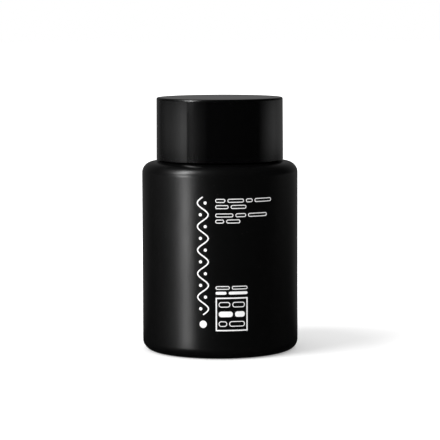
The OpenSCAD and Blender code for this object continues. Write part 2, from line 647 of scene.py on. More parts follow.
@dataclass(frozen=True)
class FoamCells:
    """The pores of a foam: round cells of two sizes."""

    scale: float = 1300.0
    smoothness: float = 0.25
    finer: float = 2.3
    fine_share: float = 0.35
    pore_range: tuple[float, float] = (0.2, 0.62)

    def group(self) -> bpy.types.NodeTree:
        """Builds the node group.

        Returns:
            A group with an input Scale and the outputs Height and Pore.
        """
        graph, source, sink = new_group("foam_cells", {"Scale": self.scale}, ("Height", "Pore"))
        scale = source.outputs["Scale"]
        large = graph.add("ShaderNodeTexVoronoi", feature="SMOOTH_F1")
        graph.set(large, Vector=graph.object_point(), Scale=scale, Smoothness=self.smoothness)
        small = graph.add("ShaderNodeTexVoronoi")
        finer = graph.calc("MULTIPLY", scale, self.finer)
        graph.set(small, Vector=graph.object_point(), Scale=finer)
        fine, coarse = small.outputs["Distance"], large.outputs["Distance"]
        both = graph.calc("MULTIPLY_ADD", fine, self.fine_share, coarse)
        # Pore marks where the painted shade of the pores goes.
        graph.set(sink, Height=both, Pore=graph.spread(both, 1.0, 0.0, self.pore_range))
        return graph.tree


@dataclass(frozen=True)
class Finish:
    """A finish, with its colour and gloss."""

    name: str
    colour: Point
    roughness: float

    def begin(self) -> tuple[bpy.types.Material, Graph, bpy.types.Node]:
        """Makes the material with its shader and its plain values.

        Returns:
            The material, its graph and its shader.
        """
        material = bpy.data.materials.new(self.name)
        material.use_nodes = True
        graph = Graph(material.node_tree)
        shader = material.node_tree.nodes["Principled BSDF"]
        graph.set(shader, Base_Color=(*self.colour, 1.0), Roughness=self.roughness)
        material.diffuse_color = (*self.colour, 1.0)
        return material, graph, shader

    @staticmethod
    def bump(
        graph: Graph, shader: bpy.types.Node, height: Socket,
        depth: float, strength: float,
    ) -> None:
        """Lets a height lean the shader's normal.

        Args:
            graph: Graph of the material.
            shader: Its shader.
            height: The height as a socket.
            depth: What a height of 1 stands for, in millimetres.
            strength: Share of the relief that shows.
        """
        relief = graph.add("ShaderNodeBump")
        graph.set(relief, Height=height, Distance=depth * MM, Strength=strength)
        graph.set(shader, Normal=relief.outputs["Normal"])


@dataclass(frozen=True)
class SoftRim:
    """A top rim whose polish is softer than the rest, by its radius and height."""

    radius: float
    top: float
    width: float = 0.8
    softer: float = 0.2

    def add(self, graph: Graph, roughness: Socket) -> Socket:
        """Raises a roughness along the rim.

        Args:
            graph: Graph of the material.
            roughness: The roughness away from the rim.

        Returns:
            The roughness with the rim.
        """
        outer, inner = self.width * MM, self.width * MM / 2
        place = graph.add("ShaderNodeSeparateXYZ")
        graph.set(place, Vector=graph.object_point())
        top = self.top * MM
        high = graph.spread(place.outputs["Z"], 0.0, 1.0, (top - outer, top - inner))
        flat = graph.vector("MULTIPLY", graph.object_point(), (1.0, 1.0, 0.0))
        away = graph.vector("LENGTH", flat.outputs["Vector"]).outputs["Value"]
        rim = self.radius * MM
        far = graph.spread(away, 0.0, self.softer, (rim - outer, rim - inner))
        return graph.calc("MULTIPLY_ADD", high, far, roughness)


@dataclass(frozen=True)
class MouldedPlastic(Finish):
    """Plastic with the grain of its mould and the marks of handling."""

    grain_size: float = 0.25
    grain_depth: float = 0.01
    grain_shown: float = 0.3
    uneven: float = 0.03
    smudge: float = 0.05
    dust: float = 0.3
    dust_colour: Point = (0.09, 0.085, 0.08)

    def make(self, effects: Effects, rim: SoftRim | None = None) -> bpy.types.Material:
        """Builds the material.

        Args:
            effects: The shared node groups.
            rim: A rim that is softer than the rest, if there is one.

        Returns:
            The finish.
        """
        material, graph, shader = self.begin()
        grain = graph.add("ShaderNodeGroup", node_tree=effects.grain)
        graph.set(grain, Scale=1 / (self.grain_size * MM))
        marks = graph.add("ShaderNodeGroup", node_tree=effects.marks)
        graph.set(marks, Amount=self.dust)
        low, high = self.roughness - self.uneven, self.roughness + self.uneven
        gloss = graph.spread(grain.outputs["Unevenness"], low, high)
        smudged = graph.calc("MULTIPLY_ADD", marks.outputs["Smudge"], self.smudge, gloss)
        rubbed = graph.calc("MULTIPLY_ADD", marks.outputs["Rub"], self.smudge, smudged)
        graph.set(shader, Roughness=rim.add(graph, rubbed) if rim else rubbed)
        dusted = graph.blend(marks.outputs["Dust"], self.colour, self.dust_colour)
        graph.set(shader, Base_Color=dusted)
        self.bump(graph, shader, grain.outputs["Height"], self.grain_depth, self.grain_shown)
        return material


@dataclass(frozen=True)
class Foam(Finish):
    """Foam, with pores that are deeper than the skin between them and darkened by painted shade.
    """

    # Colour of the painted shade in the pores
    pore_shade_colour: Point = (0.5, 0.42, 0.31)
    cell: float = 0.8
    depth: float = 0.25
    shown: float = 0.8
    patch: float = 0.05
    patch_scale: float = 60.0
    patch_range: tuple[float, float] = (0.3, 0.7)

    def make(self, effects: Effects) -> bpy.types.Material:
        """Builds the material.

        Args:
            effects: The shared node groups.

        Returns:
            The finish.
        """
        material, graph, shader = self.begin()
        cells = graph.add("ShaderNodeGroup", node_tree=effects.cells)
        graph.set(cells, Scale=1 / (self.cell * MM))
        # The pores take a darker colour: painted shade in the foam's hollows.
        base = graph.blend(cells.outputs["Pore"], self.colour, self.pore_shade_colour)
        broad = graph.noise(self.patch_scale)
        shade = graph.spread(broad.outputs["Fac"], 1.0 - self.patch, 1.0, self.patch_range)
        graph.set(shader, Base_Color=graph.blend(1.0, base, shade, "MULTIPLY"))
        self.bump(graph, shader, cells.outputs["Height"], self.depth, self.shown)
        return material


@dataclass(frozen=True)
class ScreenInk(Finish):
    """Screen-printed ink, laid on a little unevenly."""

    thin_colour: Point = (0.66, 0.66, 0.67)
    grain_scale: float = 9000.0
    laid_range: tuple[float, float] = (0.55, 0.85)
    depth: float = 0.01
    shown: float = 0.25

    def make(self, effects: Effects) -> bpy.types.Material:
        """Builds the material.

        Args:
            effects: The shared node groups.

        Returns:
            The finish.
        """
        material, graph, shader = self.begin()
        grain = graph.add("ShaderNodeGroup", node_tree=effects.grain)
        graph.set(grain, Scale=self.grain_scale)
        laid = graph.spread(grain.outputs["Height"], 0.0, 1.0, self.laid_range)
        graph.set(shader, Base_Color=graph.blend(laid, self.colour, self.thin_colour))
        self.bump(graph, shader, grain.outputs["Height"], self.depth, self.shown)
        return material


SATIN_BLACK = MouldedPlastic(
    "satin_black", (0.0018, 0.0018, 0.0019), 0.3, grain_depth=0.004, uneven=0.015,
)
GLOSS_BLACK = MouldedPlastic(
    "gloss_black", (0.0009, 0.0009, 0.001), 0.105, grain_size=6.0, grain_depth=0.004,
    grain_shown=0.15, uneven=0.01, smudge=0.03, dust=0.15,
)
MATTE_BLACK = MouldedPlastic(
    "matte_black", (0.012, 0.012, 0.013), 0.48, grain_size=0.4, grain_shown=0.4, uneven=0.04,
)
OPEN_FOAM = Foam("open_foam", (0.87, 0.83, 0.75), 0.92)
# The wad's pores get a fainter painted shade.
WAD_FOAM = Foam(
    "wad_foam", (0.86, 0.86, 0.85), 0.55, pore_shade_colour=(0.78, 0.78, 0.77), cell=0.28,
    depth=0.03, shown=0.35, patch=0.02,
)
WHITE_INK = ScreenInk("white_ink", (0.86, 0.86, 0.86), 0.42)


@dataclass(frozen=True)
class Jar:
    """The blown jar: pushed-up floor, round body, sloping shoulder and threaded neck."""

    outside: Extent
    ink: float = 0.015
    inset: float = 0.012
    wall: float = 1.2
    base_r: float = 3.2
    push_up: float = 2.0
    ring_r: float = 2.0
    ramp: float = 0.76
    ramp_foot: float = 18.75
    ramp_r: float = 0.95
    shoulder_r: float = 3.45
    slope: float = math.radians(7.4)
    neck_r: float = 16.35
    neck_foot: float = 61.2
    neck_wall: float = 1.5
    neck_foot_r: float = 0.8
    bead_z: float = 64.55
    bead_h: float = 1.15
    bead_flat: float = 0.05
    rim_r: float = 0.4
    gate_r: float = 1.6
    gate_slope: float = 0.4
    gate_depth: float = 0.35
    gate_top_r: float = 0.12
    gate_foot_r: float = 0.15
    inner_ring_r: float = 0.8
    inner_ramp_r: float = 1.1
    thread_z: float = 68.2
    thread_h: float = 1.05

    @property
    def printed(self) -> float:
        """Radius of the ink's outer face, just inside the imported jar's flats."""
        return self.outside.radius - self.inset

    @property
    def side(self) -> float:
        """Radius of the body under its ink."""
        return self.printed - self.ink

    def shoulder(self, r: float) -> float:
        """Height of the shoulder's outside at a radius."""
        return self.neck_foot - (r - self.neck_r) * math.tan(self.slope)

    def section(self) -> list[Corner]:
        """Lists the corners from the outside of the floor round to its inside.

        Returns:
            The corners of one closed outline.
        """
        inner = self.neck_r - self.neck_wall
        under = self.wall / math.cos(self.slope)
        belly = self.side - self.wall
        floor = self.push_up + self.wall
        gate_top = self.push_up + self.gate_depth
        crest = self.neck_r + self.bead_h
        half_round = self.bead_h - self.bead_flat
        return [
            Corner(0.0, gate_top),
            Corner(self.gate_r - self.gate_slope, gate_top, self.gate_top_r, segments=3),
            Corner(self.gate_r, self.push_up, self.gate_foot_r, segments=3),
            Corner(self.ramp_foot - self.ramp, self.push_up, self.ramp_r),
            Corner(self.ramp_foot, 0.0, self.ring_r),
            Corner(self.side, 0.0, self.base_r, segments=10),
            Corner(self.side, self.shoulder(self.side), self.shoulder_r, segments=12),
            Corner(self.neck_r, self.neck_foot, self.neck_foot_r, segments=6),
            Corner(self.neck_r, self.bead_z - self.bead_h),
            Corner(crest, self.bead_z - self.bead_h, half_round, segments=7),
            Corner(crest, self.bead_z + self.bead_h, half_round, segments=7),
            Corner(self.neck_r, self.bead_z + self.bead_h),
            Corner(self.neck_r, self.outside.top, self.rim_r),
            Corner(inner, self.outside.top, self.rim_r),
            Corner(inner, self.shoulder(inner) - under),
            Corner(belly, self.shoulder(belly) - under, self.shoulder_r - self.wall),
            Corner(belly, self.wall, self.base_r - self.wall),
            Corner(self.ramp_foot + self.ramp, self.wall, self.inner_ring_r),
            Corner(self.ramp_foot, floor, self.inner_ramp_r),
            Corner(0.0, floor),
        ]

    def thread(self) -> ScrewThread:
        """Sizes the ridge that is wound round the neck."""
        return ScrewThread(self.neck_r, self.thread_h, Side.OUTSIDE, self.thread_z)

    def dress(self, effects: Effects) -> bpy.types.Object:
        """Builds the jar with its thread.

        Args:
            effects: The shared node groups.

        Returns:
            The piece.
        """
        mesh = joined([Lathe(self.section()).build(), self.thread().build()])
        plastic = SATIN_BLACK.make(effects)
        return finished(mesh, "jar_body", Body.JAR, Slot.JAR, plastic, ("bottle",))


@dataclass(frozen=True)
class Dash:
    """A short printed bar with round ends, solid or drawn as an outline."""

    start: float
    length: float
    z: float
    height: float
    stroke: float | None = None


@dataclass(frozen=True)
class Row:
    """A row of dashes: its middle, its height and the dashes' lengths."""

    z: float
    height: float
    lengths: tuple[float, ...]
    inside: bool = False
    solid: bool = False


@dataclass(frozen=True)
class FrontPrint:
    """A generic print on the front: a running wave, rows of dashes and a framed block."""

    jar: Jar
    line: float = 0.4
    stroke: float = 0.24
    step: float = 0.8
    left: float = -1.45
    gap: float = 0.7
    wave_middle: float = -5.4
    wave_foot: float = 14.3
    wave_top: float = 51.1
    wave_swing: float = 1.7
    wave_length: float = 7.36
    wave_cuts: int = 150
    dot_place: float = 0.45
    dot_r: float = 0.5
    dot_sides: int = 20
    end_dot_r: float = 1.15
    end_dot_z: float = 11.3
    end_dot_sides: int = 32
    round_share: float = 0.45
    frame_width: float = 10.15
    frame_foot: float = 9.15
    frame_top: float = 19.7
    frame_margin: float = 0.95
    rows: tuple[Row, ...] = (
        Row(49.95, 1.2, (3.1, 5.2, 2.2, 6.1)),
        Row(48.0, 1.2, (4.1, 5.0)),
        Row(45.4, 1.2, (5.6, 3.4, 6.6)),
        Row(43.5, 1.2, (2.7, 4.4)),
        Row(22.75, 1.1, (4.4, 5.0)),
        Row(21.1, 0.9, (3.4, 6.0), solid=True),
        Row(17.45, 1.7, (3.6, 3.95), inside=True),
        Row(14.45, 1.75, (4.4, 3.15), inside=True, solid=True),
        Row(11.4, 1.7, (2.6, 4.95), inside=True),
    )

    def dashes(self) -> Iterator[Dash]:
        """Goes along the dashes of every row.

        Returns:
            Each dash with its place.
        """
        for row in self.rows:
            start = self.left + (self.frame_margin if row.inside else 0.0)
            stroke = None if row.solid else self.stroke
            for length in row.lengths:
                yield Dash(start, length, row.z, row.height, stroke)
                start += length + self.gap

    def add_dash(self, flat: BMesh, dash: Dash) -> None:
        """Draws a bar with rounded ends.

        Args:
            flat: The flat drawing.
            dash: Place and size of the bar.
        """
        middle = Matrix.Translation((dash.start + dash.length / 2, dash.z, 0))
        size = Matrix.Diagonal((dash.length, dash.height, 1, 1))
        made = bmesh.ops.create_grid(
            flat, x_segments=1, y_segments=1, size=0.5, matrix=middle @ size,
        )
        bmesh.ops.bevel(
            flat, geom=made["verts"], offset=self.round_share * dash.height,
            offset_type="OFFSET", segments=5, profile=0.5, affect="VERTICES",
            clamp_overlap=True, material=-1,
        )
        if dash.stroke:
            self.hollow(flat, self.nearest(flat, middle.translation), dash.stroke)

    @staticmethod
    def nearest(flat: BMesh, point: Vector) -> BMFace:
        """Finds the face of the drawing whose middle is nearest to a point."""
        return min(flat.faces, key=lambda face: (face.calc_center_median() - point).length)

    @staticmethod
    def hollow(flat: BMesh, face: BMFace, stroke: float) -> None:
        """Leaves only a line of the stroke's width along a face's edge."""
        bmesh.ops.inset_individual(flat, faces=[face], thickness=stroke, use_even_offset=True)
        bmesh.ops.delete(flat, geom=[face], context="FACES")

    def add_frame(self, flat: BMesh) -> None:
        """Draws the square frame.

        Args:
            flat: The flat drawing.
        """
        width = self.frame_width
        height = self.frame_top - self.frame_foot
        middle = Vector((self.left + width / 2, self.frame_foot + height / 2, 0))
        place = Matrix.Translation(middle) @ Matrix.Diagonal((width, height, 1, 1))
        made = bmesh.ops.create_grid(flat, x_segments=1, y_segments=1, size=0.5, matrix=place)
        self.hollow(flat, made["verts"][0].link_faces[0], self.line)

    def add_wave(self, flat: BMesh) -> None:
        """Draws the running wave, with a dot in each of its bends.

        Args:
            flat: The flat drawing.
        """
        made = bmesh.ops.create_grid(flat, x_segments=1, y_segments=self.wave_cuts, size=0.5)
        height = self.wave_top - self.wave_foot
        for vert in made["verts"]:
            side = math.copysign(self.line / 2, vert.co.x)
            z = self.wave_foot + height * (vert.co.y + 0.5)
            phase = TURN * (z - self.wave_foot) / self.wave_length
            slope = self.wave_swing * TURN / self.wave_length * math.cos(phase)
            across = Vector((1.0, -slope)).normalized() * side
            x = self.wave_middle + self.wave_swing * math.sin(phase)
            vert.co = Vector((x + across.x, z + across.y, 0))
        bends = round(2 * height / self.wave_length)
        for i in range(bends):
            side = -1 if i % 2 == 0 else 1
            z = self.wave_foot + self.wave_length * (i / 2 + 0.25)
            x = self.wave_middle + side * self.dot_place * self.wave_swing
            self.add_dot(flat, x, z, self.dot_r, self.dot_sides)
        self.add_dot(flat, self.wave_middle, self.end_dot_z, self.end_dot_r, self.end_dot_sides)

    @staticmethod
    def add_dot(flat: BMesh, x: float, z: float, radius: float, sides: int) -> None:
        """Draws a round dot at a place across the front and a height on the jar."""
        place = Matrix.Translation((x, z, 0))
        bmesh.ops.create_circle(flat, cap_ends=True, segments=sides, radius=radius, matrix=place)

    def mesh(self) -> BMesh:
        """Draws the print flat, gives it the ink's thickness and lays it on the wall.

        Returns:
            Closed islands of ink in millimetres.
        """
        flat = bmesh.new()
        for dash in self.dashes():
            self.add_dash(flat, dash)
        self.add_frame(flat)
        self.add_wave(flat)
        low = min(vert.co.x for vert in flat.verts)
        high = max(vert.co.x for vert in flat.verts)
        for i in range(1, math.ceil((high - low) / self.step)):
            bmesh.ops.bisect_plane(
                flat, geom=flat.verts[:] + flat.edges[:] + flat.faces[:], dist=WELD,
                plane_co=(low + i * self.step, 0, 0), plane_no=(1, 0, 0),
            )
        bmesh.ops.recalc_face_normals(flat, faces=flat.faces)
        bmesh.ops.solidify(flat, geom=flat.faces[:], thickness=2 * self.jar.ink)
        top = max(vert.co.z for vert in flat.verts)
        for vert in flat.verts:
            radius = self.jar.printed + vert.co.z - top
            angle = vert.co.x / self.jar.printed
            vert.co = Vector((radius * math.sin(angle), -radius * math.cos(angle), vert.co.y))
        bmesh.ops.recalc_face_normals(flat, faces=flat.faces)
        return flat

    def dress(self, effects: Effects) -> bpy.types.Object:
        """Builds the print as a piece, with the ink's node group among the effects."""
        ink = WHITE_INK.make(effects)
        return finished(self.mesh(), "front_print", Body.JAR, Slot.JAR, ink)


def scratch_object(name: str, mesh: BMesh) -> bpy.types.Object:
    """Makes an object that only lends its shape to a modifier.

    Args:
        name: Name of the object.
        mesh: Its shape in millimetres, which is freed.

    Returns:
        The object.
    """
    data = bpy.data.meshes.new(name)
    mesh.to_mesh(data)
    mesh.free()
    scratch = bpy.data.objects.new(name, data)
    bpy.context.scene.collection.objects.link(scratch)
    return scratch


@dataclass(frozen=True)
class Sponge:
    """The foam cylinder that fills the jar, with its finger well and the cuts round it."""

    outside: Extent
    jar: Jar
    gap: float = 0.3
    skin: float = 0.2
    crown_r: float = 4.5
    well_r: float = 6.25
    well_depth: float = 38.0
    mouth_r: float = 2.0
    end_r: float = 4.0
    slits: int = 4
    slit_w: float = 1.1
    slit_l: float = 3.6
    slit_depth: float = 30.0
    slit_edge: float = 0.2
    steps: int = 96
    voxel: float = 0.42
    pore: float = 1.5
    pore_depth: float = 0.3
    pore_narrow: float = 2.2
    pore_share: float = 0.7
    wander: float = 4.0
    wander_share: float = 0.3

    def section(self) -> list[Corner]:
        """Lists the corners from the foot round to the well's bottom.

        Returns:
            The corners of an outline that starts and ends on the axis.
        """
        r = self.outside.radius - self.skin
        foot = self.outside.foot + self.skin
        crown = self.outside.top - self.skin
        column = self.jar.neck_r - self.jar.neck_wall - self.gap - self.skin
        under = (self.jar.wall + self.gap) / math.cos(self.jar.slope) + self.skin
        edge = min(self.crown_r, column - self.well_r - self.mouth_r) - GUARD
        return [
            Corner(0.0, foot),
            Corner(r, foot, self.jar.base_r),
            Corner(r, self.jar.shoulder(r) - under, self.jar.shoulder_r - self.jar.wall),
            Corner(column, self.jar.shoulder(column) - under),
            Corner(column, crown, edge, segments=8),
            Corner(self.well_r, crown, self.mouth_r, segments=6),
            Corner(self.well_r, crown - self.well_depth, self.end_r, segments=6),
            Corner(0.0, crown - self.well_depth),
        ]

    def blades(self) -> BMesh:
        """Builds the blades that open the well sideways, which cross in the well.

        Returns:
            The blades in millimetres.
        """
        blades = bmesh.new()
        top = self.outside.top + self.mouth_r
        reach = self.well_r + self.slit_l
        low = Vector((-reach, -self.slit_w / 2, self.outside.top - self.slit_depth))
        high = Vector((reach, self.slit_w / 2, top))
        for i in range(self.slits // 2):
            add_block(blades, low, high, TURN * i / self.slits, self.slit_edge)
        return blades

    def carved(self) -> BMesh:
        """Cuts the slits and turns the solid into an even net of small faces.

        Returns:
            The net in millimetres.
        """
        solid = scratch_object("sponge_solid", Lathe(self.section(), self.steps).build())
        blades = scratch_object("sponge_blades", self.blades())
        cut = solid.modifiers.new("cut", "BOOLEAN")
        cut.operation = "DIFFERENCE"
        cut.solver = "EXACT"
        cut.use_self = True
        cut.object = blades
        net = solid.modifiers.new("net", "REMESH")
        net.mode = "VOXEL"
        net.voxel_size = self.voxel
        posed = solid.evaluated_get(bpy.context.evaluated_depsgraph_get())
        mesh = bmesh.new()
        mesh.from_mesh(posed.to_mesh())
        posed.to_mesh_clear()
        for scratch in (solid, blades):
            data = scratch.data
            bpy.data.objects.remove(scratch)
            bpy.data.meshes.remove(data)
        return mesh

    def open_pores(self, mesh: BMesh) -> None:
        """Presses pores into the foam's skin, all of them inwards.

        Args:
            mesh: The net in millimetres.
        """
        mesh.normal_update()
        moves = []
        for vert in mesh.verts:
            distances, _ = noise.voronoi(vert.co / self.pore)
            hollow = max(0.0, 1.0 - self.pore_narrow * distances[0])
            wander = 0.5 + 0.5 * noise.noise(vert.co / (self.wander * self.pore))
            share = self.pore_share * hollow + self.wander_share * wander
            moves.append(vert.normal * -self.pore_depth * share)
        for vert, move in zip(mesh.verts, moves):
            vert.co += move

    def dress(self, effects: Effects) -> bpy.types.Object:
        """Builds the sponge.

        Args:
            effects: The shared node groups.

        Returns:
            The piece.
        """
        mesh = self.carved()
        self.open_pores(mesh)
        foam = OPEN_FOAM.make(effects)
        piece = finished(
            mesh, "foam_sponge", Body.JAR, Slot.SPONGE, foam, ("sponge",), crisp=False,
        )
        return piece


@dataclass(frozen=True)
class Wad:
    """The sealing disc under the cap's plate, with the mark that the rim has left."""

    outside: Extent
    jar: Jar
    edge: float = 0.15
    mark_depth: float = 0.12
    mark_spread: float = 0.15
    mark_r: float = 0.1

    def section(self) -> list[Corner]:
        """Lists the corners from the underside round to the top.

        Returns:
            The corners of an outline that starts and ends on the axis.
        """
        foot, top, r = self.outside.foot, self.outside.top, self.outside.radius
        outer = self.jar.neck_r + self.mark_spread
        inner = self.jar.neck_r - self.jar.neck_wall - self.mark_spread
        pressed = foot + self.mark_depth
        return [
            Corner(0.0, foot),
            Corner(inner, foot, self.mark_r, segments=3),
            Corner(inner + self.mark_depth, pressed, self.mark_r, segments=3),
            Corner(outer - self.mark_depth, pressed, self.mark_r, segments=3),
            Corner(outer, foot, self.mark_r, segments=3),
            Corner(r, foot, self.edge, segments=3),
            Corner(r, top, self.edge, segments=3),
            Corner(0.0, top),
        ]

    def dress(self, effects: Effects) -> bpy.types.Object:
        """Builds the wad.

        Args:
            effects: The shared node groups.

        Returns:
            The piece.
        """
        mesh = Lathe(self.section()).build()
        foam = WAD_FOAM.make(effects)
        return finished(mesh, "sealing_wad", Body.WAD, Slot.WAD, foam, ("cap_liner",))


@dataclass(frozen=True)
class CapInsert:
    """The inner cap: threaded skirt, plate, wad bead, splines, standoffs and hub ring."""

    outside: Extent
    jar: Jar
    wad: Extent
    bore: float = 17.75
    skirt: float = 0.85
    plate: float = 1.1
    plate_r: float = 0.8
    lead_in: float = 0.4
    bead_h: float = 0.55
    bead_flat: float = 0.05
    bead_gap: float = 0.1
    hub_r: float = 4.2
    rib: float = 0.9
    splines: int = 24
    spline_w: float = 2.2
    standoffs: int = 12
    soft: float = 0.15
    root: float = 0.4
    thread_h: float = 1.0
    thread_drop: float = 1.4

    @property
    def wall_r(self) -> float:
        """Outer radius of the skirt between its splines."""
        return self.bore + self.skirt

    @property
    def plate_top(self) -> float:
        """Height of the plate's upper face."""
        return self.wad.top + self.plate

    def section(self) -> list[Corner]:
        """Lists the corners from the plate's underside round the skirt to its top.

        Returns:
            The corners of an outline that starts and ends on the axis.
        """
        foot, top = self.outside.foot, self.outside.top
        under = self.wad.top
        bead = self.wad.foot - self.bead_gap - self.bead_h
        crest = self.bore - self.bead_h
        half_round = self.bead_h - self.bead_flat
        return [
            Corner(0.0, under),
            Corner(self.bore, under),
            Corner(self.bore, bead + self.bead_h),
            Corner(crest, bead + self.bead_h, half_round, segments=5),
            Corner(crest, bead - self.bead_h, half_round, segments=5),
            Corner(self.bore, bead - self.bead_h),
            Corner(self.bore, foot + self.lead_in),
            Corner(self.bore + self.lead_in, foot),
            Corner(self.wall_r, foot, self.soft, segments=3),
            Corner(self.wall_r, self.plate_top, self.plate_r, segments=6),
            Corner(self.hub_r, self.plate_top, self.soft, segments=3),
            Corner(self.hub_r, top, self.soft, segments=3),
            Corner(self.hub_r - self.rib, top, self.soft, segments=3),
            Corner(self.hub_r - self.rib, self.plate_top, self.soft, segments=3),
            Corner(0.0, self.plate_top),
        ]

    def thread(self) -> ScrewThread:
        """Sizes the ridge in the bore, which hooks under the neck's."""
        foot = self.jar.thread_z - self.thread_drop
        return ScrewThread(self.bore, self.thread_h, Side.INSIDE, foot)

    def ribs(self) -> BMesh:
        """Builds the splines round the skirt and the standoffs on the plate.

        Returns:
            The ribs in millimetres.
        """
        mesh = bmesh.new()
        high = self.wad.top - self.plate_r
        half = Vector((0, self.spline_w / 2, 0))
        for i in range(self.splines):
            low = Vector((self.wall_r - self.root, 0, self.outside.foot)) - half
            tip = Vector((self.outside.radius, 0, high)) + half
            add_block(mesh, low, tip, TURN * i / self.splines, self.soft)
        half = Vector((0, self.rib / 2, 0))
        for i in range(self.standoffs):
            low = Vector((self.hub_r - self.rib / 2, 0, self.plate_top - self.root)) - half
            tip = Vector((self.wall_r - self.plate_r - self.root, 0, self.outside.top)) + half
            add_block(mesh, low, tip, TURN * (i + 0.5) / self.standoffs, self.soft)
        return mesh

    def dress(self, effects: Effects) -> bpy.types.Object:
        """Builds the insert.

        Args:
            effects: The shared node groups.

        Returns:
            The piece.
        """
        mesh = joined([Lathe(self.section()).build(), self.ribs(), self.thread().build()])
        plastic = MATTE_BLACK.make(effects)
        return finished(mesh, "cap_inner", Body.CAP, Slot.INSERT, plastic, ("cap_insert",))


@dataclass(frozen=True)
class CapShell:
    """The plain outer cap, with the lip and the ribs that hold the insert."""

    outside: Extent
    insert: CapInsert
    inner: float = 19.05
    draft: float = math.radians(0.3)
    top: float = 1.4
    edge_r: float = 0.5
    mouth_r: float = 0.06
    under_r: float = 0.5
    lip_in: float = 0.3
    lip_up: float = 0.6
    lip_w: float = 1.0
    snap_gap: float = 0.1
    side_gap: float = 0.25
    soft: float = 0.1

    def section(self) -> list[Corner]:
        """Lists the corners from the top's middle down the outside and up the inside.

        Returns:
            The corners of an outline that starts and ends on the axis.
        """
        foot, top, r = self.outside.foot, self.outside.top, self.outside.radius
        upper = r - (top - foot - self.edge_r) * math.tan(self.draft)
        lip = foot + self.lip_up
        crest = self.inner - self.lip_in
        return [
            Corner(0.0, top),
            Corner(upper, top, self.edge_r, segments=8),
            Corner(r, foot, self.mouth_r, segments=1),
            Corner(self.inner, foot, self.soft, segments=2),
            Corner(self.inner, lip),
            Corner(crest, lip + self.lip_in, self.soft, segments=2),
            Corner(crest, lip + self.lip_w - self.lip_in, self.soft, segments=2),
            Corner(self.inner, lip + self.lip_w),
            Corner(self.inner, top - self.top, self.under_r),
            Corner(0.0, top - self.top),
        ]

    def ribs(self) -> BMesh:
        """Builds the ribs that stand between the insert's splines.

        Returns:
            The ribs in millimetres.
        """
        mesh = bmesh.new()
        insert = self.insert
        middle = (insert.wall_r + insert.outside.radius) / 2
        width = TURN * middle / insert.splines - insert.spline_w - 2 * self.side_gap
        high = insert.wad.top - insert.plate_r
        low = Vector((insert.wall_r + self.snap_gap, -width / 2, insert.outside.foot))
        tip = Vector((self.inner + insert.root - self.snap_gap, width / 2, high))
        for i in range(insert.splines):
            add_block(mesh, low, tip, TURN * (i + 0.5) / insert.splines, self.soft)
        return mesh

    def dress(self, effects: Effects) -> bpy.types.Object:
        """Builds the shell.

        Args:
            effects: The shared node groups.

        Returns:
            The piece.
        """
        mesh = joined([Lathe(self.section()).build(), self.ribs()])
        rim = SoftRim(self.outside.radius, self.outside.top)
        plastic = GLOSS_BLACK.make(effects, rim)
        return finished(mesh, "cap_outer", Body.CAP, Slot.CAP, plastic, ("cap_shell",))


@dataclass(frozen=True)
class Card:
    """A soft light that faces the jar, with its azimuth and width in degrees."""

    name: str
    azimuth: float
    width: float
    foot: float
    top: float
    radiance: float
    distance: float = 1.0
    aim: float = 0.04
    in_gloss: bool = True
    on_matte: bool = True

    def place(self) -> bpy.types.Object:
        """Puts the card up, out of the camera's sight.

        Returns:
            The light.
        """
        around = math.radians(self.azimuth)
        outward = Vector((math.sin(around), -math.cos(around), 0)) * self.distance
        low = outward + Vector((0, 0, self.foot))
        high = outward + Vector((0, 0, self.top))
        data = bpy.data.lights.new(self.name, "AREA")
        data.shape = "RECTANGLE"
        data.size = 2 * self.distance * math.tan(math.radians(self.width) / 2)
        data.size_y = (high - low).length
        data.energy = CARD_WATTS * data.size * data.size_y * self.radiance
        light = bpy.data.objects.new(self.name, data)
        light.location = (low + high) / 2
        facing = Vector((0, 0, self.aim)) - light.location
        light.rotation_euler = facing.to_track_quat("-Z", "Y").to_euler()
        light.visible_camera = False
        light.visible_glossy = self.in_gloss
        light.visible_diffuse = self.on_matte
        bpy.context.scene.collection.objects.link(light)
        return light


@dataclass(frozen=True)
class GradedStrip:
    """A low strip of light round part of the jar, with its radiance at each azimuth."""

    name: str
    levels: tuple[tuple[float, float], ...]
    step: float = 3.0
    foot: float = -0.03
    top: float = 0.045

    def radiance(self, azimuth: float) -> float:
        """Finds the strength at an azimuth, which runs evenly between the levels.

        Args:
            azimuth: Angle round the jar from its front, in degrees.

        Returns:
            The radiance there.
        """
        for (start, low), (end, high) in zip(self.levels, self.levels[1:]):
            along = (azimuth - start) / (end - start)
            if 0.0 <= along <= 1.0:
                return low + (high - low) * along
        return 0.0

    def cards(self) -> Iterator[Card]:
        """Cuts the strip into narrow cards from its first level to its last.

        Returns:
            Each card.
        """
        first, last = self.levels[0][0], self.levels[-1][0]
        count = math.ceil(abs(last - first) / self.step)
        width = (last - first) / count
        for i in range(count):
            azimuth = first + (i + 0.5) * width
            name = f"{self.name}_{i:02d}"
            yield Card(name, azimuth, abs(width), self.foot, self.top, self.radiance(azimuth))


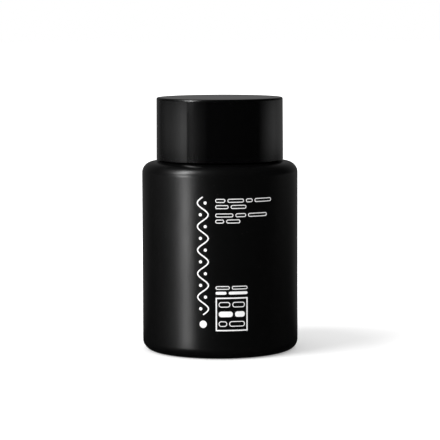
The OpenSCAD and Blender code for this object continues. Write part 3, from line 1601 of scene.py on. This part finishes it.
@dataclass(frozen=True)
class Studio:
    """Pale floor, white surroundings and soft lights."""

    softboxes: tuple[Card, ...] = (
        Card("key_high", -62.0, 16.0, 0.50, 1.05, 11.5, on_matte=False),
        Card("key_shade", -54.0, 30.0, 0.44, 1.05, 5.7, in_gloss=False),
        Card("key_low", -54.0, 12.0, 0.12, 0.24, 25.0),
        Card("bounce_far", -49.0, 13.0, 0.0, 0.02, 12.5, distance=0.3, aim=0.02),
        Card("bounce_mid", -44.0, 13.0, 0.0, 0.006, 4.5, distance=0.1, aim=0.01),
        Card("bounce_near", -39.0, 14.0, 0.0, 0.003, 3.0, distance=0.055, aim=0.005),
        Card("key_tip", -70.0, 12.0, 1.05, 1.5, 8.5),
    )
    strips: tuple[GradedStrip, ...] = (
        GradedStrip("left", (
            (-61.0, 1.16), (-71.0, 1.2), (-78.0, 0.84), (-87.0, 0.54), (-98.0, 0.32),
            (-111.0, 0.2), (-125.0, 0.06), (-132.0, 0.0),
        )),
        GradedStrip("front", ((-60.0, 0.17), (-42.0, 0.15), (-30.0, 0.07), (-24.0, 0.04))),
        GradedStrip("right", (
            (73.5, 0.0), (81.0, 0.08), (91.0, 0.2), (97.0, 0.27), (105.0, 0.32),
            (115.0, 0.32), (126.0, 0.18), (142.0, 0.07), (152.5, 0.03),
        )),
    )
    floor_size: float = 12.0
    floor_albedo: float = 0.8
    floor_glow: float = 0.3
    far_glow: float = 1.0
    glow_reach: tuple[float, float] = (0.05, 0.14)
    floor_drop: float = 2e-5
    ambient: float = 0.75
    mirrored_front: float = 0.01
    mirrored_back: float = 0.14
    back_reach: tuple[float, float] = (0.5, 0.97)

    @staticmethod
    def light_path(
        graph: Graph, camera: float | Socket, mirror: float | Socket, other: float,
    ) -> Socket:
        """Gives one value to the camera, one to glossy and glass rays and one to the rest.

        Args:
            graph: Graph of the material or world.
            camera: Value on camera rays.
            mirror: Value on glossy and transmission rays.
            other: Value on all other rays.

        Returns:
            The value as a socket.
        """
        path = graph.add("ShaderNodeLightPath")
        value = other
        for ray, level in (
            ("Is Camera Ray", camera), ("Is Glossy Ray", mirror), ("Is Transmission Ray", mirror),
        ):
            step = graph.add("ShaderNodeMix", data_type="FLOAT")
            graph.set(step, Factor=path.outputs[ray], A=value, B=level)
            value = step.outputs["Result"]
        return value

    def mirrored(self, graph: Graph, place: Socket) -> Socket:
        """Grades what the gloss shows, from the dark front to the paler back.

        Args:
            graph: Graph of the material or world.
            place: Place on the floor or direction in the surroundings.

        Returns:
            The level as a socket.
        """
        heading = graph.vector("NORMALIZE", place).outputs["Vector"]
        parts = graph.set(graph.add("ShaderNodeSeparateXYZ"), Vector=heading)
        front, back = self.mirrored_front, self.mirrored_back
        return graph.spread(parts.outputs["Y"], front, back, self.back_reach)

    def floor_finish(self) -> bpy.types.Material:
        """Makes the floor's matte finish, which glows more away from the jar.

        Returns:
            The finish.
        """
        material = bpy.data.materials.new("pale_floor")
        material.use_nodes = True
        graph = Graph(material.node_tree)
        place = graph.object_point()
        away = graph.vector("LENGTH", place).outputs["Value"]
        glow = graph.spread(away, self.floor_glow, self.far_glow, self.glow_reach)
        albedo = self.light_path(graph, self.floor_albedo, 0.0, self.floor_albedo)
        seen = self.light_path(graph, glow, self.mirrored(graph, place), 0.0)
        shader = material.node_tree.nodes["Principled BSDF"]
        graph.set(shader, Base_Color=albedo, Roughness=1.0, Specular_IOR_Level=0.0)
        graph.set(shader, Emission_Color=(1.0, 1.0, 1.0, 1.0), Emission_Strength=seen)
        return material

    def lay_floor(self) -> bpy.types.Object:
        """Lays the pale floor, which keeps the jar's shadow.

        Returns:
            The floor.
        """
        mesh = bmesh.new()
        drop = Matrix.Translation((0, 0, -self.floor_drop))
        half = self.floor_size / 2
        bmesh.ops.create_grid(mesh, x_segments=1, y_segments=1, size=half, matrix=drop)
        data = bpy.data.meshes.new("floor")
        mesh.to_mesh(data)
        mesh.free()
        data.materials.append(self.floor_finish())
        floor = bpy.data.objects.new("floor", data)
        bpy.context.scene.collection.objects.link(floor)
        return floor

    def surround(self) -> None:
        """Makes the surroundings white to the camera and dim in the gloss."""
        world = bpy.data.worlds.new("surroundings")
        world.use_nodes = True
        graph = Graph(world.node_tree)
        shown = self.mirrored(graph, graph.add("ShaderNodeTexCoord").outputs["Generated"])
        level = self.light_path(graph, 1.0, shown, self.ambient)
        background = world.node_tree.nodes["Background"]
        graph.set(background, Color=(1.0, 1.0, 1.0, 1.0), Strength=level)
        world.cycles.sampling_method = "NONE"
        bpy.context.scene.world = world

    def build(self) -> None:
        """Lays the floor, makes the surroundings and puts the lights up."""
        self.lay_floor()
        self.surround()
        for strip in self.strips:
            for card in strip.cards():
                card.place()
        for card in self.softboxes:
            card.place()
        bpy.context.scene.view_settings.view_transform = "Standard"


@dataclass(frozen=True)
class Viewpoint:
    """The camera, a little above the cap and tipped down, with angles in radians."""

    distance: float = 0.67737
    height: float = 0.10946
    pitch: float = 0.1
    roll: float = -0.0034
    focal_pixels: float = 2115.11
    nearest: float = 0.05
    farthest: float = 50.0

    def place(self) -> bpy.types.Object:
        """Sets the camera up.

        Returns:
            The camera.
        """
        data = bpy.data.cameras.new("camera")
        data.sensor_width = SENSOR_MM
        data.lens = self.focal_pixels * SENSOR_MM / FRAME_PIXELS
        data.clip_start = self.nearest
        data.clip_end = self.farthest
        camera = bpy.data.objects.new("camera", data)
        camera.location = (0, -self.distance, self.height)
        tilt = Matrix.Rotation(math.pi / 2 - self.pitch, 4, "X")
        camera.rotation_euler = (tilt @ Matrix.Rotation(self.roll, 4, "Z")).to_euler()
        bpy.context.scene.collection.objects.link(camera)
        bpy.context.scene.camera = camera
        return camera


def main() -> None:
    """Builds the jar, the sponge, the cap and the studio in order."""
    logging.basicConfig(level=logging.INFO, format="%(name)s: %(message)s")
    effects = Effects.build()
    jar = Jar(Extent.of("bottle"))
    jar.dress(effects)
    FrontPrint(jar).dress(effects)
    Sponge(Extent.of("sponge"), jar).dress(effects)
    wad = Wad(Extent.of("cap_liner"), jar)
    wad.dress(effects)
    insert = CapInsert(Extent.of("cap_insert"), jar, wad.outside)
    insert.dress(effects)
    CapShell(Extent.of("cap_shell"), insert).dress(effects)
    Studio().build()
    Viewpoint().place()


if __name__ == "__main__":
    main()
